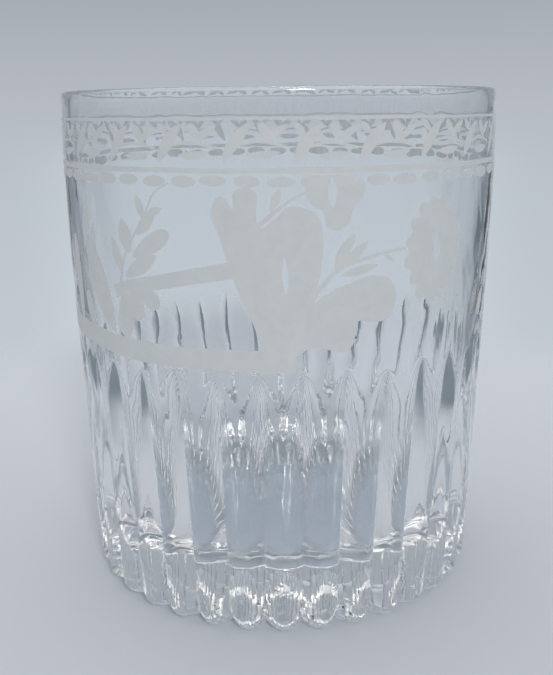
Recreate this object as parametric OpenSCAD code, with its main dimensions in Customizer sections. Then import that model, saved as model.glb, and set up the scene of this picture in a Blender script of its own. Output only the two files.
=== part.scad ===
// Engraved glass tumbler: one thick piece of cut glass, with matt wheel engraving on its wall.
// Millimetres, standing on z = 0 with the axis of the glass on the z axis. The main engraving
// faces -y. Angles along the wall run from that front line, positive to the right of it.

/* [Glass] */
// Overall height
height = 92; // [80:1:110]
// Outer diameter at the rim
rim_d = 80; // [76:0.5:84]
// Outer diameter at the widest height, just below the upper frieze
belly_d = 80.6; // [80.6:0.2:84]
// Outer diameter at the foot
foot_d = 76; // [72:0.5:78]
// Rounding of the outer edge of the foot
foot_round = 3.4; // [1:0.2:4]

/* [Cavity] */
// Thickness of the solid base
base_thick = 10; // [8:0.5:14]
// Wall thickness at the rim
rim_wall = 1.4; // [1.2:0.1:2]
// Wall thickness half way up
middle_wall = 2.4; // [2:0.1:3]
// Wall thickness just above the cavity floor
foot_wall = 3.7; // [3.4:0.1:4.5]
// Rounding between the cavity wall and its floor
floor_round = 8; // [2:0.5:10]

/* [Cut pillars] */
// Number of mitre grooves, and so of pillars, round the glass
groove_count = 35; // [28:1:40]
// Height where the grooves run out to a point
groove_top = 47; // [40:1:48]
// Depth of a groove at the foot
groove_depth = 2.5; // [1.5:0.1:2.6]
// Angle between the two faces of a groove
groove_angle = 104; // [90:1:110]
// How far single grooves are cut deeper or shallower, by hand
hand_cut = 0.05; // [0:0.01:0.08]

/* [Engraving] */
// Thickness of the matt skin that stands for the engraving
skin = 0.12; // [0.1:0.01:0.3]
// Height of the single line above the frieze
upper_line_z = 87.4; // [86:0.1:88]
// Height of the line below the frieze
lower_line_z = 79.9; // [79:0.1:81]
// Width of the lines
line_w = 0.7; // [0.4:0.1:1]
// Number of repeats of the leaf frieze
frieze_count = 24; // [16:1:30]
// Number of oval beads under the frieze
bead_count = 50; // [36:1:56]
// Length of a bead
bead_len = 4.1; // [3:0.1:4.4]
// Height of a bead
bead_h = 1.6; // [1:0.1:2]

/* [Hidden] */
$fn = 48;
rim_r = rim_d / 2;
belly_r = belly_d / 2;
foot_r = foot_d / 2;
belly_z = 79;
wall_steps = 6;
// The wall swells quickly above the foot and slowly near the belly
swell = 1.35;
// How far a cutter passes beyond the glass
past = 4;
bead_z = lower_line_z - line_w / 2 - 0.3 - bead_h / 2;
// The picture starts above the points of the grooves and ends under the beads
ribbon_z = 49;
ribbon_w = 3.1;
picture_low = ribbon_z + ribbon_w + 0.3;
picture_high = bead_z - bead_h / 2 - 0.2;
// Degrees round the wall for a millimetre along it
deg_per_mm = 360 / (2 * PI * belly_r);

matt = [0.72, 0.74, 0.74];
glass = [0.8, 0.88, 0.92, 0.4];

// ---- profile of the wall ----

function mix(a, b, t) = a + (b - a) * t;

// Outer radius of the uncut wall at height z
function wall_r(z) =
    z <= foot_round ? foot_r
    : z <= belly_z ? mix(foot_r, belly_r, 1 - pow(1 - (z - foot_round) / (belly_z - foot_round), swell))
    : mix(belly_r, rim_r, (z - belly_z) / (height - belly_z));

// The heights where the wall profile turns
wall_heights = concat(
    [for (i = [0 : wall_steps]) mix(foot_round, belly_z, i / wall_steps)],
    [height - rim_wall / 2]);

// Points of the outer wall between two heights, moved out by a distance
function wall_points(z0, z1, out) = concat(
    [[profile_r(z0) + out, z0]],
    [for (z = wall_heights) if (z > z0 && z < z1) [profile_r(z) + out, z]],
    [[profile_r(z1) + out, z1]]);

// Radius on the straight-sided profile that is really turned
function profile_r(z) =
    z >= wall_heights[wall_steps] ? wall_r(z)
    : let (i = max(0, floor((z - foot_round) / (belly_z - foot_round) * wall_steps)),
           a = wall_heights[i],
           b = wall_heights[i + 1])
      mix(wall_r(a), wall_r(b), (z - a) / (b - a));

// Points on an arc
function arc_points(centre, r, from, to, steps) =
    [for (i = [0 : steps]) centre + r * [cos(mix(from, to, i / steps)), sin(mix(from, to, i / steps))]];

// ---- glass ----

module uncut_glass() {
    rotate_extrude($fn = 96) polygon(concat(
        [[0, 0]],
        arc_points([foot_r - foot_round, foot_round], foot_round, -90, 0, 4),
        [for (z = wall_heights) if (z > foot_round) [wall_r(z), z]],
        arc_points([wall_r(height) - rim_wall / 2, height - rim_wall / 2], rim_wall / 2, 0, 90, 3),
        [[0, height]]));
}

module cavity() {
    floor_r = wall_r(base_thick + floor_round) - foot_wall;
    middle_z = height / 2;
    lip_r = wall_r(height) - rim_wall;
    lip_h = 7;
    rotate_extrude($fn = 96) polygon(concat(
        [[0, base_thick]],
        arc_points([floor_r - floor_round, base_thick + floor_round], floor_round, -90, 0, 4),
        [[wall_r(middle_z) - middle_wall, middle_z],
         [lip_r, height - lip_h],
         [lip_r, height - rim_wall / 2]],
        arc_points([lip_r + rim_wall / 2, height - rim_wall / 2], rim_wall / 2, 180, 90, 3),
        [[lip_r + rim_wall / 2, height + past],
         [0, height + past]]));
}

// A straight mitre cut: deepest at the foot, leaning out of the wall at the top
module groove_cutter(deeper) {
    root_foot = foot_r - groove_depth - deeper;
    lean = atan((wall_r(groove_top) - foot_r + groove_depth) / groove_top);
    mouth = 2 * past;
    translate([0, -root_foot, 0])
        rotate([lean, 0, 0])
            translate([0, 0, -past])
                linear_extrude(height = groove_top + 2 * past)
                    polygon([[0, 0],
                             [-mouth * tan(groove_angle / 2), -mouth],
                             [mouth * tan(groove_angle / 2), -mouth]]);
}

module glass_body() {
    color(glass) difference() {
        uncut_glass();
        cavity();
        for (i = [0 : groove_count - 1])
            rotate([0, 0, (i + 0.5) * 360 / groove_count])
                groove_cutter(hand_cut * sin(i * 137));
    }
}

// ---- engraving ----

// The thin skin on the outside of the wall that all engraving is cut from
module wall_skin(z0, z1) {
    rotate_extrude($fn = 96) polygon(concat(
        wall_points(z0, z1, 0),
        [for (i = [len(wall_points(z0, z1, skin)) - 1 : -1 : 0]) wall_points(z0, z1, skin)[i]]));
}

// Puts a flat drawing on the wall at an angle. The drawing has x along the wall and y as height.
module on_wall(angle) {
    rotate([0, 0, angle])
        translate([0, past - belly_r, 0])
            rotate([90, 0, 0])
                linear_extrude(height = 2 * past)
                    children();
}

// The skin between the ribbon and the beads, where the picture is
module picture_skin() {
    wall_skin(picture_low, picture_high);
}

// Puts a part of the picture on the wall. All of the picture is drawn in one flat plane, with
// x from the front line, and each part goes on the wall at the x of its own middle.
module drawn_at(x) {
    on_wall(x * deg_per_mm) translate([-x, 0]) children();
}

module oval(long, wide, sides = 14) {
    polygon([for (i = [0 : sides - 1]) [long / 2 * cos(i * 360 / sides), wide / 2 * sin(i * 360 / sides)]]);
}

// Places a drawing made along +x between two points
module between(base, tip) {
    run = tip - base;
    translate(base) rotate([0, 0, atan2(run[1], run[0])]) children();
}

// A leaf, pointed at both ends
module leaf(base, tip, wide, steps = 5) {
    long = norm(tip - base);
    between(base, tip) polygon(concat(
        [for (i = [0 : steps]) [long * i / steps, wide / 2 * sin(180 * i / steps)]],
        [for (i = [steps - 1 : -1 : 1]) [long * i / steps, -wide / 2 * sin(180 * i / steps)]]));
}

// A petal, narrow at its base, with a broad round end
module petal(base, tip, wide, steps = 5) {
    long = norm(tip - base);
    end_r = wide / 2;
    between(base, tip) polygon(concat(
        [[0, 0], [(long - end_r) / 2, -end_r * 0.8]],
        arc_points([long - end_r, 0], end_r, -90, 90, steps),
        [[(long - end_r) / 2, end_r * 0.8]]));
}

// A stroke of even width through the points
module stem(points, wide) {
    for (i = [0 : len(points) - 2])
        hull() {
            translate(points[i]) circle(d = wide, $fn = 8);
            translate(points[i + 1]) circle(d = wide, $fn = 8);
        }
}

module engraved_upper_line() {
    color(matt) wall_skin(upper_line_z - line_w / 2, upper_line_z + line_w / 2);
}

module engraved_lower_line() {
    color(matt) wall_skin(lower_line_z - line_w / 2, lower_line_z + line_w / 2);
}

// One repeat of the frieze: a slanting leaf, a bud and a small leaf beside it, and one lying low
module frieze_repeat() {
    leaf([-2.4, 0.3], [2, 6.2], 1.9);
    petal([5.2, 3.2], [3.2, 6], 1.7);
    leaf([6.4, 1.9], [1.2, 1.5], 1.3);
    leaf([5.4, 4.2], [7.6, 5.9], 1.2);
}

module engraved_leaf_frieze() {
    color(matt) intersection() {
        wall_skin(lower_line_z + line_w, upper_line_z - line_w);
        for (i = [0 : frieze_count - 1])
            on_wall((i + 0.5) * 360 / frieze_count)
                translate([0, lower_line_z + line_w]) frieze_repeat();
    }
}

module engraved_beads() {
    color(matt) intersection() {
        wall_skin(bead_z - bead_h, bead_z + bead_h);
        for (i = [0 : bead_count - 1])
            on_wall(i * 360 / bead_count)
                translate([0, bead_z]) oval(bead_len, bead_h, 12);
    }
}

// The branch that carries the picture's left half
module branch() {
    stem([[-29.6, 60], [-26, 61.2], [-20, 62.4], [-14, 63.6], [-10.2, 64.4]], 2.3);
}

// The long ribbon low on the left, and the branch above it
module engraved_ribbon() {
    // Degrees round the wall from the front line
    ribbon_start = -82;
    ribbon_end = 1.1;
    color(matt) {
        intersection() {
            wall_skin(ribbon_z, ribbon_z + ribbon_w);
            rotate([0, 0, -90 + ribbon_start])
                rotate_extrude(angle = ribbon_end - ribbon_start, $fn = 48)
                    translate([foot_r, 0]) square([belly_r + past - foot_r, height]);
        }
        intersection() {
            picture_skin();
            drawn_at(-20) branch();
        }
    }
}

// A thin stem with pairs of small leaves
module engraved_sprig() {
    color(matt) intersection() {
        picture_skin();
        drawn_at(-24) difference() {
            union() {
                stem([[-28.6, 62], [-27.4, 66], [-24.6, 70], [-22.2, 73.4], [-20.4, 76.4]], 0.6);
                leaf([-22.8, 72.2], [-24, 76], 1.6);
                leaf([-22.4, 73], [-19, 74.1], 1.3);
                leaf([-24.6, 69.6], [-20.4, 73.4], 2);
                leaf([-26.6, 66.2], [-27.6, 72.2], 3);
                petal([-26.6, 66], [-18, 70.4], 3.6);
                leaf([-28.4, 63], [-30.4, 69], 2);
                leaf([-28, 62.8], [-20.4, 66.6], 2.6);
            }
            offset(0.2) branch();
        }
    }
}

// Broad leaves below the left end of the branch, and long ones nearer the edge
module engraved_left_leaves() {
    color(matt) intersection() {
        picture_skin();
        union() {
            drawn_at(-25) difference() {
                union() {
                    petal([-27.4, 61], [-28.6, 52.2], 4.6);
                    petal([-25.6, 61], [-25, 55.4], 3.6);
                    petal([-24.8, 61.2], [-20.6, 58.2], 3.8);
                }
                offset(0.2) branch();
            }
            drawn_at(-40) {
                leaf([-32.4, 52.4], [-36.4, 67.4], 4.4);
                leaf([-38.6, 61], [-35.6, 71], 2.6);
                leaf([-40, 66], [-37.4, 75.4], 2.2);
                petal([-44, 52], [-45, 68], 4);
                petal([-38.4, 52.2], [-40.4, 58.6], 3.2);
            }
        }
    }
}

// The large open flower in the middle: a two-lobed petal on the left and a broad round one
module tulip() {
    difference() {
        polygon([[-1.2, 50.6], [-3.2, 53], [-5, 58], [-7, 62.2], [-8.4, 66.4], [-9.4, 70],
                 [-10.7, 73], [-10, 75.6], [-8.6, 76], [-7.2, 74.2], [-7.2, 76.6],
                 [-5.6, 77.4], [-3.6, 76.6], [-3.7, 73.2], [-3, 71.4],
                 [-0.6, 73], [1, 74.5], [3.4, 74.4], [5.8, 72.8], [6.5, 69.6], [6.3, 65.8],
                 [5.6, 62], [4, 59], [3.2, 55], [2.2, 51.2]]);
        leaf([0.5, 67], [0.8, 61], 0.9);
    }
}

module engraved_tulip() {
    color(matt) intersection() {
        picture_skin();
        drawn_at(-2) tulip();
    }
}

// The lobed leaf to the right of the flower, with the stem that climbs over it
module engraved_right_leaf() {
    color(matt) intersection() {
        wall_skin(ribbon_z, picture_high);
        drawn_at(10) difference() {
            union() {
                polygon([[1.2, 53.4], [4.4, 58.8], [7.4, 61.2], [11, 62.6], [14.4, 63.5], [17.4, 63],
                         [19, 60.8], [18.7, 57.9], [17, 56.2], [14.6, 56], [12.5, 56.4], [12, 54.4],
                         [11.4, 52.4], [9.6, 51.5], [7, 52.2], [4.4, 52.4], [1.8, 51]]);
                stem([[3.6, 57.6], [5.2, 60.8], [7.8, 63.8], [10, 65.4], [13, 66.2], [19.4, 67.3]], 0.7);
                leaf([8.4, 64.6], [11.7, 70.2], 1.9);
                leaf([9.6, 65.2], [13.9, 68.9], 1.5);
                leaf([9.4, 64], [15.6, 65.2], 1.5);
            }
            offset(0.2) tulip();
        }
    }
}

// The small flower under the beads, with its stem and one leaf
module engraved_top_flower() {
    color(matt) intersection() {
        picture_skin();
        drawn_at(5) difference() {
            union() {
                polygon([[3.7, 76.6], [4.4, 78.6], [12.4, 78.6], [12.9, 77.4], [12.8, 75.9], [11.2, 74.1],
                         [10.6, 72], [8.8, 70.8], [7.2, 71.5], [6.6, 73.8], [4.8, 74.8]]);
                stem([[-3.4, 71.8], [-1, 73.7], [1.6, 75.6], [4.4, 77]], 0.6);
                leaf([-1.4, 73.6], [0, 77.4], 1.3);
            }
            leaf([7.8, 79], [8, 74.2], 1.5);
            offset(0.2) tulip();
        }
    }
}

// The large round flower on the right, open in the middle, with a bud and two leaves beside it
module engraved_daisy() {
    middle = [27, 66.6];
    petals = 15;
    color(matt) intersection() {
        picture_skin();
        union() {
            drawn_at(27) difference() {
                union() {
                    translate(middle) oval(11.2, 15.2, 24);
                    for (i = [0 : petals - 1])
                        translate(middle + [5.2 * cos(i * 360 / petals), 7.4 * sin(i * 360 / petals)])
                            circle(d = 2.7, $fn = 10);
                }
                translate([27.5, 66.7]) oval(1.7, 5.6);
            }
            drawn_at(35) {
                petal([34.8, 63.6], [34.6, 58], 2);
                leaf([35.4, 52], [35.8, 54.8], 1.1);
            }
            drawn_at(45) leaf([44, 52.6], [46, 57.6], 2.6);
        }
    }
}

glass_body();
engraved_upper_line();
engraved_leaf_frieze();
engraved_lower_line();
engraved_beads();
engraved_ribbon();
engraved_sprig();
engraved_left_leaves();
engraved_tulip();
engraved_right_leaf();
engraved_top_flower();
engraved_daisy();
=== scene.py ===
import math

import bpy
import numpy as np
from mathutils import Matrix, Vector, geometry


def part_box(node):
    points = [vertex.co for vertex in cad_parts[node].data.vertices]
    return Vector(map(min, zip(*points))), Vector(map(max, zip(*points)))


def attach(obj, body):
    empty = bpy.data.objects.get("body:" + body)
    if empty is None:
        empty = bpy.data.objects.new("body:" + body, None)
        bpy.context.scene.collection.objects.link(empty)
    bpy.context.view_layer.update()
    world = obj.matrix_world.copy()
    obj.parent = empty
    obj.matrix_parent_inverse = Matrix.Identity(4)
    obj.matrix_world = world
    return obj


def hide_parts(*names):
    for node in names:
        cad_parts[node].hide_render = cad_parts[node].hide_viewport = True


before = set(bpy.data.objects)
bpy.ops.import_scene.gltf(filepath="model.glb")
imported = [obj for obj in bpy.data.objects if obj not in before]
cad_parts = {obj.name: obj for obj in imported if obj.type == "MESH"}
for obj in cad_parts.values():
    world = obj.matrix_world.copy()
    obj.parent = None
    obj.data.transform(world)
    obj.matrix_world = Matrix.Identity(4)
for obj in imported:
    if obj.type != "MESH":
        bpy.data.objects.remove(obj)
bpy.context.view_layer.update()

# Lengths in this script are millimetres. Blender's scene is in metres.
MM = 0.001


def node_high(name):
    """A CAD node's highest corner, in mm."""
    return np.array(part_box(name)[1]) / MM


# ---- driving dimensions ----

GLASS_HIGH = node_high("glass_body")
HEIGHT = GLASS_HIGH[2]
BELLY_R = GLASS_HIGH[0]     # the widest place, at BELLY_Z
RIM_R = BELLY_R - 0.3
FOOT_R = BELLY_R - 2.3
BELLY_Z = 79.0
SWELL = 1.35                # the wall swells quickly above the foot and slowly near the belly
BASE_THICK = 10.0
RIM_WALL = 1.4
WALL_GROWTH = 2.6           # how much thicker the wall is at the cavity's floor
LIP_HEIGHT = 7.0            # the wall is even in thickness this far below the rim
LIP_CALM = 6                # and the cavity has no waves this far below it
FLOOR_ROUND = 8.0
HOLLOW_DEPTH = 1.0          # the underside is a little hollow
HOLLOW_R = 30.0

PILLARS = 35
PILLAR_PITCH = 2 * math.pi / PILLARS
GROOVE_TOP = 46.2           # mean height of the grooves' points
GROOVE_TILT = 1.8           # they stand higher in front than at the back
TILT_SIDE = 0.4             # and highest at this angle, in radians
GROOVE_UNEVEN = 0.6         # and they vary by hand
PILLAR_SWELL = 1.35         # how far a pillar's sides fall back from its crest at the foot
CREASE_TIP = 0.4            # half width of the crease in a groove at its point
CREASE_GROWTH = 2.9         # and how much it has grown at the foot
CREASE_SLOPE = 0.38         # depth of the crease for its half width
GROOVE_OPENING = 0.12       # share of the pitch that a groove covers at its point
OPENING_RATE = 7            # it covers all of it from 1/7 of its height below the point
GROOVE_DEPTH = 2.5          # swell and crease together, at the foot
FOOT_Z = 3.0                # the foot's outline is taken at this height
CREST_ROUND = 3.4           # rounding of the foot's edge on a pillar
GROOVE_ROUND = 4.4          # and in a groove

UPPER_LINE_Z = 87.4
LOWER_LINE_Z = 79.9
BEADS = 50
BEAD_Z = 78.3
FRIEZE_REPEATS = 24
FRIEZE_Z = 80.6
SKIN_UNDER = -0.03          # the matt skin starts just inside the polished surface
SKIN_OUTER = 0.012          # and ends just outside it

CAMERA_PLACE = (-0.79, -171.2, 88.66)
CAMERA_PITCH = 14.63        # degrees below the horizon
CAMERA_ROLL = -0.6          # degrees
CAMERA_LENS = 46.6
CAMERA_SENSOR = 36

# ---- looks: colours, and noise scales in cells for each metre ----

GLASS_TINT = (0.984, 0.993, 1.0, 1)
MATT_DARK = (0.365, 0.374, 0.381)
MATT_PALE = (0.415, 0.416, 0.418)
MATT_GLOW = (0.2, 0.213, 0.222, 1)
# Floor colours in front of the glass and behind it: painted shade in front, painted light behind over the
# glass's shadow
FLOOR_FRONT_PAINTED_SHADE = (0.44, 0.444, 0.469)
FLOOR_BEHIND_PAINTED_LIGHT = (0.504, 0.514, 0.541)
FLOOR_GLOW = (0.048, 0.067, 0.087, 1)
GLOW_UNDER_GLASS = 2.2      # how many times brighter the floor glows under the glass
CORD_SCALE = 110.0
WAVE_SCALE = 150.0
WAVE_HEIGHT = 2.2           # how much deeper the grooved wall's waves are than the cords

# ---- the wall's shape ----


def outer_radius(z):
    """Radius of the uncut outer wall at height z."""
    low = np.clip((z - CREST_ROUND) / (BELLY_Z - CREST_ROUND), 0, 1)
    swelling = FOOT_R + (BELLY_R - FOOT_R) * (1 - (1 - low) ** SWELL)
    high = np.clip((z - BELLY_Z) / (HEIGHT - BELLY_Z), 0, 1)
    return swelling + (RIM_R - BELLY_R) * high


def wall_thickness(z):
    """Thickness of the uncut wall at height z: thin at the rim, thick at the foot."""
    even_z = HEIGHT - LIP_HEIGHT
    down = np.clip((even_z - z) / (even_z - BASE_THICK), 0, 1)
    return RIM_WALL + WALL_GROWTH * down ** 1.1


def inner_radius(theta, z):
    """Radius of the cavity, with the slight waves of blown glass."""
    wave = 0.03 * np.sin(3 * theta + z / 9) + 0.02 * np.sin(7 * theta - z / 6 + 1)
    below_lip = np.clip((HEIGHT - LIP_CALM - z) / 20, 0, 1)
    return outer_radius(z) - wall_thickness(z) + wave * below_lip


def groove_cut(theta, z):
    """How deep the grooves between the pillars cut the wall at an angle and height."""
    index = np.round(theta / PILLAR_PITCH - 0.5)
    groove_at = (index + 0.5) * PILLAR_PITCH
    tilt = GROOVE_TILT * np.cos(groove_at - TILT_SIDE)
    top = GROOVE_TOP + tilt + GROOVE_UNEVEN * np.sin(index * 2.4)
    below = np.clip(1 - z / top, 0, 1)
    aside = np.abs(theta - groove_at) * outer_radius(z)
    half_pitch = PILLAR_PITCH / 2 * outer_radius(z)
    # A groove opens fast below its point, until it meets its neighbours
    widening = np.clip(below * OPENING_RATE, 0, 1) ** 0.6
    opening = GROOVE_OPENING + (1 - GROOVE_OPENING) * widening
    swell = PILLAR_SWELL * below ** 0.42 * np.clip(1 - aside / (half_pitch * opening), 0, 1) ** 2
    crease_width = CREASE_TIP + CREASE_GROWTH * below ** 0.8
    crease_depth = CREASE_SLOPE * crease_width * np.clip(below * 12, 0, 1)
    return swell + crease_depth * np.clip(1 - aside / crease_width, 0, 1) ** 1.4


def surface_radius(theta, z):
    """Radius of the finished outer wall."""
    return outer_radius(z) - groove_cut(theta, z)


# ---- mesh building ----


def new_piece(name, verts, faces, smooth=True):
    """A mesh object from vertices in mm."""
    mesh = bpy.data.meshes.new(name)
    mesh.from_pydata([tuple(v) for v in np.asarray(verts) * MM], [], faces)
    mesh.validate()
    if smooth:
        mesh.shade_smooth()
        mesh.set_sharp_from_angle(angle=math.radians(50))
    piece = bpy.data.objects.new(name, mesh)
    bpy.context.scene.collection.objects.link(piece)
    return piece


def on_cylinder(radius, theta, z):
    """Points from cylinder coordinates. Angle 0 is the front, and angles grow to the right."""
    return np.stack(np.broadcast_arrays(radius * np.sin(theta), -radius * np.cos(theta), z), axis=-1)


def ring_faces(rows, columns):
    """Quads between rows of a closed ring grid."""
    faces = []
    for row in range(rows - 1):
        for col in range(columns):
            right = (col + 1) % columns
            faces.append((row * columns + col, row * columns + right,
                          (row + 1) * columns + right, (row + 1) * columns + col))
    return faces


# ---- the glass ----


def column_angles():
    """Angles of the mesh columns, closer together beside each groove."""
    steps = 20
    t = np.arange(steps) / steps
    crowded = t - 0.6 * np.sin(2 * math.pi * t) / (2 * math.pi)
    grooves = (np.arange(PILLARS) + 0.5) * PILLAR_PITCH
    return (grooves[:, None] + crowded[None, :] * PILLAR_PITCH).ravel()


def wall_heights():
    """Heights of the outer wall's rows above the foot's rounding, closer at the grooves' points."""
    pillars = np.arange(5, 40, 1.0)
    points = np.arange(40, 53, 0.5)
    plain = np.arange(53, HEIGHT - 3, 2.5)
    return np.concatenate([pillars, points, plain, [HEIGHT - 2, HEIGHT - RIM_WALL / 2]])


def build_glass():
    """The whole glass as one closed mesh, from the underside's middle round to the floor's."""
    theta = column_angles()
    rows = []

    low = np.full_like(theta, FOOT_Z)
    foot = surface_radius(theta, low)
    cut_share = np.clip(groove_cut(theta, low) / GROOVE_DEPTH, 0, 1)
    rounding = CREST_ROUND + (GROOVE_ROUND - CREST_ROUND) * cut_share
    contact = foot - rounding
    for share in (0.03, 0.2, 0.4, 0.6, 0.8, 0.93, 1.0):
        radius = contact * share
        hollow = HOLLOW_DEPTH * np.clip(1 - (radius / HOLLOW_R) ** 2, 0, 1)
        rows.append((radius, hollow))
    for angle in np.radians((15, 30, 45, 60, 75, 90)):
        rows.append((contact + rounding * math.sin(angle), rounding * (1 - math.cos(angle))))
    for z in wall_heights():
        level = np.full_like(theta, z)
        rows.append((surface_radius(theta, level), level))

    lip = RIM_WALL / 2
    lip_centre = RIM_R - lip
    for angle in np.radians(np.arange(22.5, 180, 22.5)):
        rows.append((np.full_like(theta, lip_centre + lip * math.cos(angle)),
                     np.full_like(theta, HEIGHT - lip + lip * math.sin(angle))))
    corner_z = BASE_THICK + FLOOR_ROUND
    for z in np.linspace(HEIGHT - lip, corner_z, 26):
        level = np.full_like(theta, z)
        rows.append((inner_radius(theta, level), level))
    corner_r = inner_radius(theta, np.full_like(theta, corner_z)) - FLOOR_ROUND
    for angle in np.radians((18, 36, 54, 72, 90)):
        rows.append((corner_r + FLOOR_ROUND * math.cos(angle),
                     np.full_like(theta, corner_z - FLOOR_ROUND * math.sin(angle))))
    for share in (0.85, 0.65, 0.45, 0.25, 0.03):
        rows.append((corner_r * share, np.full_like(theta, BASE_THICK)))

    verts = np.concatenate([on_cylinder(radius, theta, z) for radius, z in rows])
    columns = len(theta)
    faces = ring_faces(len(rows), columns)
    faces.append(tuple(reversed(range(columns))))
    faces.append(tuple(range(len(verts) - columns, len(verts))))
    return new_piece("cut_glass", verts, faces)


# ---- drawing the engraving ----
# A drawing is a list of outlines. x runs along the wall to the right of the front line and y is
# the height, both in mm.


def smooth_loop(points, steps=5):
    """A closed smooth curve through the points."""
    p = np.array(points, float)
    t = (np.arange(steps) / steps)[None, :, None]
    before, here, after, later = (np.roll(p, k, axis=0)[:, None, :] for k in (1, 0, -1, -2))
    curve = 0.5 * (2 * here + (after - before) * t + (2 * before - 5 * here + 4 * after - later) * t ** 2
                   + (3 * here - before - 3 * after + later) * t ** 3)
    return curve.reshape(-1, 2)


def along(base, tip, shape):
    """Places a shape, drawn from (0, 0) to (1, 0) with half widths in mm, between two points."""
    base, tip = np.array(base, float), np.array(tip, float)
    direction = tip - base
    side = np.array([-direction[1], direction[0]]) / np.linalg.norm(direction)
    return np.array([base + direction * x + side * y for x, y in shape])


def leaf(base, tip, width, bend=0.0):
    """A leaf, pointed at both ends."""
    steps = 10
    up = [(i / steps, width / 2 * math.sin(math.pi * i / steps) ** 0.8) for i in range(steps + 1)]
    down = [(x, -y) for x, y in up[-2:0:-1]]
    shape = [(x, y + bend * 4 * x * (1 - x)) for x, y in up + down]
    return along(base, tip, shape)


def petal(base, tip, width, bend=0.0):
    """A petal, narrow at its base and broad and round at its tip."""
    steps = 14
    up = [((1 - math.cos(math.pi * i / steps)) / 2,
           width / 2 * math.sin(math.pi * i / steps) * (0.81 - 0.19 * math.cos(math.pi * i / steps)))
          for i in range(steps + 1)]
    down = [(x, -y) for x, y in up[-2:0:-1]]
    shape = [(x, y + bend * 4 * x * (1 - x)) for x, y in up + down]
    return along(base, tip, shape)


def oval(centre, length, width, turn=0.0, steps=18):
    """An oval, turned by an angle in degrees."""
    a = np.arange(steps) * 2 * math.pi / steps
    x = length / 2 * np.cos(a)
    y = width / 2 * np.sin(a)
    c, s = math.cos(math.radians(turn)), math.sin(math.radians(turn))
    return np.stack([centre[0] + c * x - s * y, centre[1] + s * x + c * y], axis=-1)


def stem(points, width, end_width=None):
    """A stroke through the points, which may narrow towards its end."""
    end_width = width if end_width is None else end_width
    p = np.array(points, float)
    padded = np.vstack([2 * p[0] - p[1], p, 2 * p[-1] - p[-2]])
    centre = []
    for a, b, c, d in zip(padded, padded[1:], padded[2:], padded[3:]):
        steps = max(3, round(np.linalg.norm(c - b) / 0.8))
        for t in np.arange(steps) / steps:
            centre.append(0.5 * (2 * b + (c - a) * t + (2 * a - 5 * b + 4 * c - d) * t ** 2
                                 + (3 * b - a - 3 * c + d) * t ** 3))
    centre.append(p[-1])
    centre = np.array(centre)
    direction = np.gradient(centre, axis=0)
    direction /= np.linalg.norm(direction, axis=1)[:, None]
    side = np.stack([-direction[:, 1], direction[:, 0]], axis=-1)
    half = np.linspace(width / 2, end_width / 2, len(centre))[:, None]
    return np.vstack([centre + side * half, (centre - side * half)[::-1]])


def inside(points, loop):
    """Which points lie inside a closed loop."""
    x, y = points[:, 0, None], points[:, 1, None]
    x0, y0 = loop[:, 0], loop[:, 1]
    x1, y1 = np.roll(x0, -1), np.roll(y0, -1)
    crosses = (y0 > y) != (y1 > y)
    rise = np.where(y1 == y0, 1e-9, y1 - y0)
    return (crosses & (x < (x1 - x0) * (y - y0) / rise + x0)).sum(axis=1) % 2 == 1


def edge_distance(points, loops):
    """Distance from each point to the nearest outline."""
    best = np.full(len(points), 1e9)
    for loop in loops:
        a, b = loop, np.roll(loop, -1, axis=0)
        run = b - a
        t = ((points[:, None] - a) * run).sum(-1) / np.maximum((run ** 2).sum(-1), 1e-12)
        near = a + run * np.clip(t, 0, 1)[..., None]
        best = np.minimum(best, np.linalg.norm(points[:, None] - near, axis=-1).min(axis=1))
    return best


def engraving(name, outlines, holes=(), grid=0.7):
    """A matt skin on the wall, with the outlines joined into one area and the holes left clear."""
    loops = [np.asarray(o, float) for o in outlines]
    holes = [np.asarray(h, float) for h in holes]
    every = loops + holes
    low = np.min([loop.min(axis=0) for loop in loops], axis=0)
    high = np.max([loop.max(axis=0) for loop in loops], axis=0)
    gx, gy = np.meshgrid(np.arange(low[0], high[0], grid), np.arange(low[1], high[1], grid))
    fill = np.stack([gx.ravel(), gy.ravel()], axis=-1)
    wanted = np.any([inside(fill, loop) for loop in loops], axis=0)
    fill = fill[wanted & (edge_distance(fill, every) > grid * 0.35)]

    points, edges = [Vector(p) for p in fill], []
    for loop in every:
        first = len(points)
        points += [Vector(p) for p in loop]
        edges += [(first + i, first + (i + 1) % len(loop)) for i in range(len(loop))]
    flat, _, triangles, _, _, _ = geometry.delaunay_2d_cdt(points, edges, [], 0, 1e-4)
    flat = np.array([tuple(v) for v in flat])
    triangles = np.array([t for t in triangles if len(t) == 3])
    middle = flat[triangles].mean(axis=1)
    keep = np.any([inside(middle, loop) for loop in loops], axis=0)
    for hole in holes:
        keep &= ~inside(middle, hole)
    triangles = triangles[keep]

    used, index = np.unique(triangles, return_inverse=True)
    triangles = index.reshape(-1, 3)
    flat = flat[used]
    theta = flat[:, 0] / BELLY_R
    z = flat[:, 1]
    wall = surface_radius(theta, z)
    outer = on_cylinder(wall + SKIN_OUTER, theta, z)
    under = on_cylinder(wall + SKIN_UNDER, theta, z)

    a, b, c = (flat[triangles[:, k]] for k in range(3))
    facing = (b[:, 0] - a[:, 0]) * (c[:, 1] - a[:, 1]) - (b[:, 1] - a[:, 1]) * (c[:, 0] - a[:, 0])
    triangles[facing < 0] = triangles[facing < 0][:, ::-1]
    count = len(flat)
    faces = [tuple(t) for t in triangles]
    faces += [tuple(t[::-1] + count) for t in triangles]
    sides = {}
    for t in triangles:
        for i, j in ((t[0], t[1]), (t[1], t[2]), (t[2], t[0])):
            if (j, i) in sides:
                del sides[(j, i)]
            else:
                sides[(i, j)] = True
    faces += [(j, i, i + count, j + count) for i, j in sides]
    return new_piece(name, np.vstack([outer, under]), faces)


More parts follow.
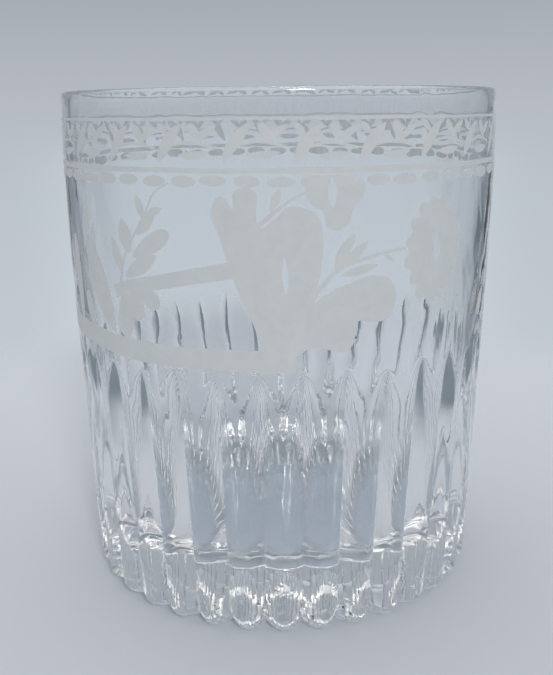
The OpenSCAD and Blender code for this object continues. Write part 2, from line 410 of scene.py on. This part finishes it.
def engraved_line(name, z, width):
    """A matt line all the way round the wall."""
    columns = 280
    theta = np.arange(columns) * 2 * math.pi / columns
    rows = []
    for out, side in ((SKIN_UNDER, -1), (SKIN_OUTER, -1), (SKIN_OUTER, 1), (SKIN_UNDER, 1)):
        level = z + side * (width / 2 + 0.04 * np.sin(5 * theta) + 0.03 * np.sin(13 * theta + side))
        rows.append(on_cylinder(surface_radius(theta, level) + out, theta, level))
    verts = np.concatenate(rows)
    faces = ring_faces(len(rows), columns)
    last = (len(rows) - 1) * columns
    for col in range(columns):
        right = (col + 1) % columns
        faces.append((last + col, last + right, right, col))
    return new_piece(name, verts, faces)


# ---- the motifs ----


def beads():
    """The row of beads, uneven as hand work is."""
    pitch = 2 * math.pi * BELLY_R / BEADS
    shapes = []
    for i in range(BEADS):
        x = (i - BEADS / 2) * pitch + 0.15 * math.sin(i * 2.1)
        shapes.append(oval((x, BEAD_Z + 0.1 * math.sin(i * 1.7)), 4.2 + 0.25 * math.sin(i * 3.3),
                           1.75 + 0.15 * math.sin(i * 2.7), turn=2 * math.sin(i * 1.3), steps=14))
    return shapes


def frieze():
    """Leaves along a stem, once in each repeat."""
    pitch = 2 * math.pi * BELLY_R / FRIEZE_REPEATS
    shapes = []
    for i in range(FRIEZE_REPEATS):
        x = (i + 0.4 - FRIEZE_REPEATS / 2) * pitch + 0.25 * math.sin(i * 2.3)
        z = FRIEZE_Z + 0.15 * math.sin(i * 1.9)
        shapes.append(leaf((x - 2.4, z + 0.3), (x + 2.0, z + 6.2), 1.9, bend=0.3))
        shapes.append(petal((x + 5.2, z + 3.4), (x + 3.2, z + 6.1), 1.7))
        shapes.append(leaf((x + 6.4, z + 1.9), (x + 1.2, z + 1.5), 1.3, bend=0.25))
        shapes.append(leaf((x + 4.4, z + 3.7), (x + 7.6, z + 5.9), 1.2))
        shapes.append(leaf((x - 0.6, z + 4.6), (x - 2.2, z + 6.3), 1.1))
        shapes.append(stem([(x - 0.2, z + 2.9), (x + 3.4, z + 3.4), (x + 7.4, z + 2.6)], 0.42))
    return shapes


def ribbon():
    """The low ribbon, and the branch above it."""
    low_ribbon = stem([(-57, 52.6), (-47.5, 51.4), (-37, 50.9), (-28, 50.4), (-18, 50.3), (-8, 50.4),
                       (2.4, 50.2)], 3.6)
    branch = stem([(-30.5, 59.8), (-26, 61.2), (-20, 62.4), (-14, 63.7), (-7.4, 64.9)], 2.2, 2.6)
    return [low_ribbon, branch]


def sprig():
    """A thin curved stem and its leaves."""
    return [
        stem([(-29, 61), (-27.4, 66), (-24.6, 70), (-22.2, 73.4), (-20.4, 76.4), (-17.6, 78)],
             0.55, 0.25),
        leaf((-22.8, 72.2), (-24, 76), 1.6),
        leaf((-22.1, 73), (-19, 74.1), 1.3),
        leaf((-24.4, 69.6), (-20.4, 73.4), 2.0),
        leaf((-26.4, 66.4), (-27.6, 72.2), 3.0),
        petal((-25.4, 66), (-18, 70.4), 3.6),
        leaf((-28.2, 63), (-30.4, 69), 2.0),
        leaf((-27.6, 62.6), (-20.4, 66.6), 2.6),
    ]


def left_leaves():
    """Three petals under the sprig and broad leaves round the left side."""
    return [
        petal((-27.4, 61), (-28.6, 52.2), 4.6),
        petal((-25.6, 61), (-25, 55.4), 3.6),
        petal((-24.8, 61.2), (-20.6, 58.2), 3.8),
        leaf((-31.2, 52.4), (-36.4, 67.4), 5.0, bend=0.9),
        leaf((-38.6, 61), (-35.6, 71), 2.6),
        leaf((-40, 66), (-37.4, 75.4), 2.2),
        petal((-44, 52), (-45, 68), 4.0),
        petal((-38.4, 52.2), (-40.4, 58.6), 3.2),
    ]


def tulip():
    """The large open flower."""
    outline = smooth_loop([(-1.2, 50.6), (-3.2, 53), (-5, 58), (-7, 62.2), (-8.4, 66.4), (-9.4, 70),
                           (-10.7, 73), (-10, 75.6), (-8.6, 76), (-7.2, 74.2), (-7.2, 76.6),
                           (-5.6, 77.4), (-3.6, 76.6), (-3.7, 73.2), (-3, 71.4),
                           (-0.6, 73), (1, 74.5), (3.4, 74.4), (5.8, 72.8), (6.5, 69.6), (6.3, 65.8),
                           (5.6, 62), (4, 59), (3.2, 55), (2.2, 51.2)])
    return [outline]


def tulip_slit():
    """A clear slit in the middle of the tulip."""
    return [leaf((0.5, 67), (0.8, 61), 0.9)]


def right_leaf():
    """A lobed leaf, and a stem that climbs from it."""
    blade = smooth_loop([(1.2, 53.4), (4.4, 58.8), (7.4, 61.2), (11, 62.6), (14.4, 63.5), (17.4, 63),
                         (19, 60.8), (18.7, 57.9), (17, 56.2), (14.6, 56), (12.5, 56.4), (12, 54.4),
                         (11.4, 52.4), (9.6, 51.5), (7, 52.2), (4.4, 52.4), (1.8, 51)])
    return [
        blade,
        stem([(3.6, 57.6), (5.2, 60.8), (7.8, 63.8), (10, 65.4), (13, 66.2), (16, 66.9), (20.6, 67.4)],
             0.9, 0.45),
        leaf((8.4, 64.6), (11.7, 70.2), 1.9, bend=0.3),
        leaf((9.6, 65.4), (13.9, 68.9), 1.5),
        leaf((9.4, 63.8), (15.6, 65.2), 1.5),
        leaf((16.8, 66.6), (18.6, 65.4), 0.7),
    ]


def top_flower():
    """The small flower under the beads, with its stem."""
    outline = smooth_loop([(3.7, 76.6), (4.4, 78.6), (6.6, 79), (8.8, 79.3), (11, 79), (12.9, 78),
                           (12.8, 75.9), (11.2, 74.1), (10.6, 72), (8.8, 70.8), (7, 71.5), (6.4, 73.8),
                           (4.8, 74.6)])
    return [
        outline,
        stem([(-4.2, 71), (-1, 73.7), (1.6, 75.6), (4.4, 77)], 0.8, 0.35),
        leaf((-1.6, 73.6), (0, 77.4), 1.3),
    ]


def top_flower_slit():
    """A clear slit in the top flower."""
    return [leaf((7.8, 79), (8, 74.2), 1.5)]


def daisy():
    """A round flower of many petals, and the small leaves beside it."""
    centre = np.array([27, 66.6])
    petals = 15
    shapes = [oval(centre, 11.2, 15.2, steps=40)]
    for i in range(petals):
        a = 2 * math.pi * i / petals
        rim = centre + np.array([6.5 * math.cos(a), 8.7 * math.sin(a)]) * (1 + 0.03 * math.sin(i * 2.6))
        start = centre + np.array([2 * math.cos(a), 3 * math.sin(a)])
        shapes.append(petal(start, rim, 3.0 + 0.3 * math.sin(i * 1.9)))
    shapes.append(petal((34.2, 63.6), (34, 58), 2.4))
    shapes.append(leaf((44, 52.6), (46, 57.6), 2.6))
    shapes.append(leaf((35.4, 52), (35.8, 54.8), 1.1))
    return shapes


def daisy_eye():
    """The clear middle of the daisy."""
    return [oval((27.5, 66.7), 1.7, 5.6, steps=20)]


# ---- materials ----


def principled(name, **settings):
    """A material with a Principled shader, its sockets set by name."""
    material = bpy.data.materials.new(name)
    material.use_nodes = True
    shader = material.node_tree.nodes["Principled BSDF"]
    for socket, value in settings.items():
        shader.inputs[socket.replace("_", " ")].default_value = value
    return material, shader


def ramp(nodes, stops):
    """A colour ramp with (position, colour) stops."""
    node = nodes.new("ShaderNodeValToRGB")
    elements = node.color_ramp.elements
    elements[0].position, elements[0].color = stops[0][0], (*stops[0][1], 1)
    elements[1].position, elements[1].color = stops[-1][0], (*stops[-1][1], 1)
    for position, colour in stops[1:-1]:
        elements.new(position).color = (*colour, 1)
    return node


def add_node(tree, kind, links=(), **settings):
    """A node of a kind, with its properties set and (socket, source) pairs linked to it."""
    node = tree.nodes.new("ShaderNode" + kind)
    for key, value in settings.items():
        setattr(node, key, value)
    for socket, source in links:
        tree.links.new(source, node.inputs[socket])
    return node


def fade(tree, source, start, end, start_value=0.0, end_value=1.0):
    """A smooth change from one value to another as the source goes from start to end."""
    node = add_node(tree, "MapRange", [("Value", source)], interpolation_type="SMOOTHSTEP")
    node.inputs["From Min"].default_value = start
    node.inputs["From Max"].default_value = end
    node.inputs["To Min"].default_value = start_value
    node.inputs["To Max"].default_value = end_value
    return node.outputs["Result"]


def noise(tree, source, scale, detail, distortion=0.0):
    """Noise at a number of cells in a metre."""
    node = add_node(tree, "TexNoise", [("Vector", source)])
    node.inputs["Scale"].default_value = scale
    node.inputs["Detail"].default_value = detail
    node.inputs["Distortion"].default_value = distortion
    return node.outputs["Fac"]


def bump(tree, height, strength, distance, shader):
    """Bumps on the surface of a shader."""
    node = add_node(tree, "Bump", [("Height", height)])
    node.inputs["Strength"].default_value = strength
    node.inputs["Distance"].default_value = distance
    tree.links.new(node.outputs["Normal"], shader.inputs["Normal"])


def mix_colours(tree, share, first, second):
    """A mix of two colours, each of them a constant or the output of a node."""
    node = add_node(tree, "Mix", [("Factor", share)], data_type="RGBA")
    for socket, colour in (("A", first), ("B", second)):
        if isinstance(colour, tuple):
            node.inputs[socket].default_value = (*colour, 1)
        else:
            tree.links.new(colour, node.inputs[socket])
    return node.outputs["Result"]


def clear_glass():
    """Clear glass with the faint cords and ripples of hand-made glass."""
    material, shader = principled("clear_glass", Base_Color=GLASS_TINT, Roughness=0.0, IOR=1.5,
                                  Transmission_Weight=1.0)
    tree = material.node_tree
    place = add_node(tree, "TexCoord").outputs["Object"]
    stretch = add_node(tree, "Mapping", [("Vector", place)])
    stretch.inputs["Scale"].default_value = (1.0, 1.0, 0.45)
    cords = noise(tree, stretch.outputs["Vector"], CORD_SCALE, 1.5, 0.8)
    # The grooves were polished by hand, so the lower wall has deeper waves, down to the foot
    waves = noise(tree, stretch.outputs["Vector"], WAVE_SCALE, 0.5)
    split = add_node(tree, "SeparateXYZ", [(0, place)])
    grooved = fade(tree, split.outputs["Z"], 0.047, 0.036, 0.0, WAVE_HEIGHT)
    above_foot = fade(tree, split.outputs["Z"], 0.008, 0.018)
    waviness = add_node(tree, "Math", [(0, grooved), (1, above_foot)], operation="MULTIPLY")
    height = add_node(tree, "Math", [(0, waves), (1, waviness.outputs["Value"]), (2, cords)],
                      operation="MULTIPLY_ADD")
    bump(tree, height.outputs["Value"], 0.35, 0.0004, shader)
    return material


def matt_glass():
    """Glass ground by an engraver's wheel: a fine grain with cloudy, streaky strokes.

    The faint glow stands for daylight which reaches the ground surface from inside the glass.
    """
    material, shader = principled("matt_engraving", Roughness=0.8, IOR=1.5, Transmission_Weight=0.3,
                                  Emission_Color=MATT_GLOW, Emission_Strength=1.0)
    tree = material.node_tree
    place = add_node(tree, "TexCoord").outputs["Object"]
    strokes = noise(tree, place, 260.0, 4.0, 1.5)
    shade = ramp(tree.nodes, [(0.3, MATT_DARK), (0.7, MATT_PALE)])
    tree.links.new(strokes, shade.inputs["Fac"])
    tree.links.new(shade.outputs["Color"], shader.inputs["Base Color"])
    bump(tree, noise(tree, place, 2200.0, 2.0), 0.25, 0.0001, shader)
    return material


# ---- stage ----


def build_floor():
    """A pale floor which fades into the pale surroundings, so that no horizon shows."""
    reach = 4000
    drop = 0.05
    sides = ((-reach, -reach), (reach, -reach), (reach, reach), (-reach, reach))
    corners = [(x, y, -drop) for x, y in sides]
    floor = new_piece("floor", corners, [(0, 1, 2, 3)], smooth=False)
    material, shader = principled("pale_floor", Roughness=0.85, Emission_Color=FLOOR_GLOW)
    tree = material.node_tree
    place = add_node(tree, "TexCoord").outputs["Object"]
    split = add_node(tree, "SeparateXYZ", [(0, place)])
    # Painted light and shade: it is paler behind the glass, where the glass casts its shadow, and darker
    # in front of it
    painted_light_share = fade(tree, split.outputs["Y"], -0.04, 0.14)
    tone = mix_colours(tree, painted_light_share, FLOOR_FRONT_PAINTED_SHADE, FLOOR_BEHIND_PAINTED_LIGHT)
    tree.links.new(tone, shader.inputs["Base Color"])
    # The glow stands for light that gathers on the floor, most of all under the glass
    radius = add_node(tree, "VectorMath", [(0, place)], operation="LENGTH")
    gathered = fade(tree, radius.outputs["Value"], 0.02, 0.038, GLOW_UNDER_GLASS, 1.0)
    tree.links.new(gathered, shader.inputs["Emission Strength"])
    # It ends on an oval that reaches further behind the glass than in front of it
    oval_place = add_node(tree, "Mapping", [("Vector", place)])
    oval_place.inputs["Location"].default_value = (0, -0.4, 0)
    oval_place.inputs["Scale"].default_value = (1 / 0.125, 1 / 0.15, 1)
    distance = add_node(tree, "VectorMath", [(0, oval_place.outputs["Vector"])], operation="LENGTH")
    near = fade(tree, distance.outputs["Value"], 0.8, 1.2, 1.0, 0.0)
    tree.links.new(near, shader.inputs["Alpha"])
    floor.data.materials.append(material)


def build_world():
    """Pale paper behind, a bright ceiling above and a darker room at the sides and in front."""
    world = bpy.data.worlds.new("studio")
    bpy.context.scene.world = world
    world.use_nodes = True
    tree = world.node_tree
    view = add_node(tree, "TexCoord").outputs["Generated"]
    split = add_node(tree, "SeparateXYZ", [(0, view)])
    height = add_node(tree, "MapRange", [("Value", split.outputs["Z"])])
    height.inputs["From Min"].default_value = -1.0
    height.inputs["From Max"].default_value = 1.0
    paper = ramp(tree.nodes, [(0.25, (0.51, 0.558, 0.605)), (0.345, (0.545, 0.59, 0.635)),
                              (0.40, (0.531, 0.577, 0.622)), (0.45, (0.508, 0.556, 0.602)),
                              (0.50, (0.474, 0.503, 0.552)), (0.529, (0.434, 0.462, 0.509)),
                              (0.557, (0.376, 0.418, 0.451)), (0.62, (0.31, 0.35, 0.38)),
                              (0.78, (0.36, 0.39, 0.42)), (0.95, (0.8, 0.8, 0.8))])
    room = ramp(tree.nodes, [(0.3, (0.2, 0.235, 0.27)), (0.5, (0.17, 0.2, 0.235)),
                             (0.68, (0.2, 0.22, 0.25)), (0.9, (0.8, 0.8, 0.8))])
    for shades in (paper, room):
        tree.links.new(height.outputs["Result"], shades.inputs["Fac"])
    # The paper is a strip, so the share of room grows with the angle from straight behind
    flat = add_node(tree, "VectorMath", [(0, view)], operation="MULTIPLY")
    flat.inputs[1].default_value = (1, 1, 0)
    level = add_node(tree, "VectorMath", [(0, flat.outputs["Vector"])], operation="NORMALIZE")
    behind = add_node(tree, "SeparateXYZ", [(0, level.outputs["Vector"])]).outputs["Y"]
    # It ends short of the point straight below
    steep = fade(tree, split.outputs["Z"], -0.95, -0.75)
    strip = add_node(tree, "Math", [(0, fade(tree, behind, 0.78, 0.93)), (1, steep)], operation="MULTIPLY")
    # A soft pool of light on the low part of the paper, in the middle
    centre = fade(tree, behind, 0.955, 0.985)
    low = fade(tree, split.outputs["Z"], -0.01, -0.06)
    pool = add_node(tree, "Math", [(0, centre), (1, low)], operation="MULTIPLY")
    gain = add_node(tree, "Math", [(0, pool.outputs["Value"])], operation="MULTIPLY_ADD")
    gain.inputs[1].default_value = 0.10
    gain.inputs[2].default_value = 1.0
    lit = add_node(tree, "VectorMath", [(0, paper.outputs["Color"]), ("Scale", gain.outputs["Value"])],
                   operation="SCALE")
    colour = mix_colours(tree, strip.outputs["Value"], room.outputs["Color"], lit.outputs["Vector"])
    tree.links.new(colour, tree.nodes["Background"].inputs["Color"])


def build_lamp(name, place, size, power):
    """A round lamp which shines at the glass from a place given in mm."""
    data = bpy.data.lights.new(name, "AREA")
    data.shape = "DISK"
    data.size = size * MM
    data.energy = power
    lamp = bpy.data.objects.new(name, data)
    bpy.context.scene.collection.objects.link(lamp)
    lamp.location = Vector(place) * MM
    lamp.rotation_mode = "QUATERNION"
    lamp.rotation_quaternion = (-lamp.location).to_track_quat("-Z", "Y")


def build_camera():
    """The photograph's viewpoint."""
    data = bpy.data.cameras.new("camera")
    data.lens = CAMERA_LENS
    data.sensor_width = CAMERA_SENSOR
    data.clip_start = 0.01
    camera = bpy.data.objects.new("camera", data)
    bpy.context.scene.collection.objects.link(camera)
    camera.location = Vector(CAMERA_PLACE) * MM
    camera.rotation_mode = "QUATERNION"
    level = Matrix.Rotation(math.radians(90 - CAMERA_PITCH), 4, "X")
    rolled = level @ Matrix.Rotation(math.radians(CAMERA_ROLL), 4, "Z")
    camera.rotation_quaternion = rolled.to_quaternion()
    bpy.context.scene.camera = camera


def settle_render():
    """Plain colours, and enough bounces for light to pass through the glass."""
    scene = bpy.context.scene
    scene.view_settings.view_transform = "Standard"
    scene.cycles.max_bounces = 24
    scene.cycles.transmission_bounces = 24
    scene.cycles.glossy_bounces = 16


def finish_piece(piece, material, slot, *nodes):
    """Gives a piece its material, hangs it under the root body and hides the CAD nodes that it stands for.
    """
    piece.data.materials.append(material)
    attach(piece, "root")
    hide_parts(*nodes)


finish_piece(build_glass(), clear_glass(), "clear_glass", "glass_body")

engraved = [
    engraved_line("upper_line", UPPER_LINE_Z, 0.45),
    engraved_line("lower_line", LOWER_LINE_Z, 0.85),
    engraving("beads", beads()),
    engraving("leaf_frieze", frieze()),
    engraving("ribbon", ribbon()),
    engraving("sprig", sprig()),
    engraving("left_leaves", left_leaves()),
    engraving("tulip", tulip(), tulip_slit()),
    engraving("right_leaf", right_leaf()),
    engraving("top_flower", top_flower(), top_flower_slit()),
    engraving("daisy", daisy(), daisy_eye()),
]
matt = matt_glass()
for piece in engraved:
    finish_piece(piece, matt, "matt_engraving", "engraved_" + piece.name)

build_floor()
build_world()
build_lamp("front_lamp", (200, -950, 700), size=260, power=7.2)
build_lamp("back_lamp", (-100, 350, 1100), size=1000, power=2.8)
build_lamp("small_lamp", (60, -230, 900), size=120, power=0.4)
build_camera()
settle_render()
